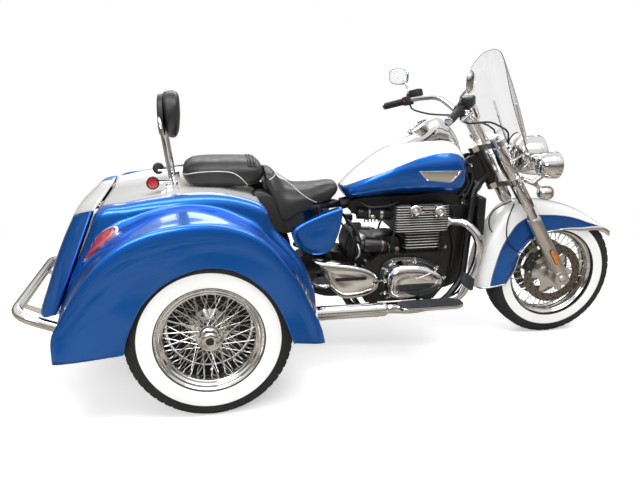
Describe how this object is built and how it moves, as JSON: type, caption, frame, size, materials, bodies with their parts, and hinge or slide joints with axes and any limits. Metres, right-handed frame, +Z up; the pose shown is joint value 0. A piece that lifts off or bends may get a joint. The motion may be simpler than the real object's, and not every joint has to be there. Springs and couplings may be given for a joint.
{
  "type": "motor trike",
  "caption": "Three-wheeled cruiser motorcycle with wire wheels, a windshield, a two-up seat with backrest, and a painted rear body with fenders and a top-hinged trunk lid.",
  "frame": {"origin": "on the ground, under the middle of the whole length", "axes": "+X towards the nose, +Z up, +Y towards the rider's left"},
  "size_m": [2.781, 1.229, 1.3959],
  "materials": {
    "blue_paint": "metallic royal blue under clear coat",
    "white_paint": "gloss pearl white",
    "chrome": "polished chrome plate",
    "satin_aluminium": "satin aluminium",
    "brake_steel": "ground steel",
    "tyre_rubber": "black rubber with a white side band",
    "black_enamel": "semi-gloss black",
    "footboard_rubber": "ribbed black rubber in a chrome edge",
    "black_leather": "black upholstery leather",
    "red_lens": "red lens in a chrome bezel",
    "clear_screen": "clear acrylic sheet"
  },
  "bodies": {
    "chassis": {"frame": "black_enamel", "rear_subframe": "black_enamel", "rear_axle": "black_enamel", "rear_bumper": "chrome", "crankcase": "black_enamel", "cylinders": "black_enamel", "engine_cover_right": "chrome", "engine_cover_left": "chrome", "lower_cover_right": "chrome", "lower_cover_left": "chrome", "side_panel_right": "blue_paint", "side_panel_left": "blue_paint", "oil_cooler": "black_enamel", "exhaust_right": "chrome", "exhaust_left": "chrome", "fuel_tank": "blue_paint", "tank_console": "chrome", "rider_seat": "black_leather", "passenger_seat": "black_leather", "trunk_body": "white_paint", "rear_fender_right": "blue_paint", "rear_fender_left": "blue_paint", "taillight_right": "red_lens", "taillight_left": "red_lens", "backrest_bar": "chrome", "backrest_pad": "black_leather", "footboard_right": "footboard_rubber", "footboard_left": "footboard_rubber"},
    "steering": {"fork_yokes": "chrome", "fork_leg_right": "satin_aluminium", "fork_leg_left": "satin_aluminium", "front_axle": "satin_aluminium", "front_fender": "white_paint", "headlight": "chrome", "light_bar": "chrome", "windshield": "clear_screen", "screen_mount_right": "chrome", "screen_mount_left": "chrome", "handlebar": "chrome", "controls_right": "black_enamel", "controls_left": "black_enamel", "mirror_right": "chrome", "mirror_left": "chrome", "control_cable_right": "black_enamel", "control_cable_left": "black_enamel"},
    "front_wheel": {"front_wheel": "chrome", "front_tyre": "tyre_rubber", "brake_disc_right": "brake_steel", "brake_disc_left": "brake_steel"},
    "rear_wheel_right": {"rear_wheel_right": "chrome", "rear_tyre_right": "tyre_rubber"},
    "rear_wheel_left": {"rear_wheel_left": "chrome", "rear_tyre_left": "tyre_rubber"},
    "tailgate": {"trunk_lid": "white_paint"}
  },
  "joints": [
    {"name": "steering_turn", "type": "hinge", "parent": "chassis", "child": "steering", "pos_m": [0.72858, 0, 0.8], "axis": [-0.515, 0, 0.8572], "range_deg": [-30, 30]},
    {"name": "front_wheel_spin", "type": "hinge", "parent": "steering", "child": "front_wheel", "pos_m": [1.07045, 0, 0.32], "axis": [0, 1, 0], "continuous": true},
    {"name": "rear_wheel_right_spin", "type": "hinge", "parent": "chassis", "child": "rear_wheel_right", "pos_m": [-0.62955, -0.483, 0.32], "axis": [0, 1, 0], "continuous": true},
    {"name": "rear_wheel_left_spin", "type": "hinge", "parent": "chassis", "child": "rear_wheel_left", "pos_m": [-0.62955, 0.483, 0.32], "axis": [0, 1, 0], "continuous": true},
    {"name": "tailgate_lift", "type": "hinge", "parent": "chassis", "child": "tailgate", "pos_m": [-1.03855, 0, 0.77775], "axis": [0, 1, 0], "range_deg": [0, 36]}
  ]
}
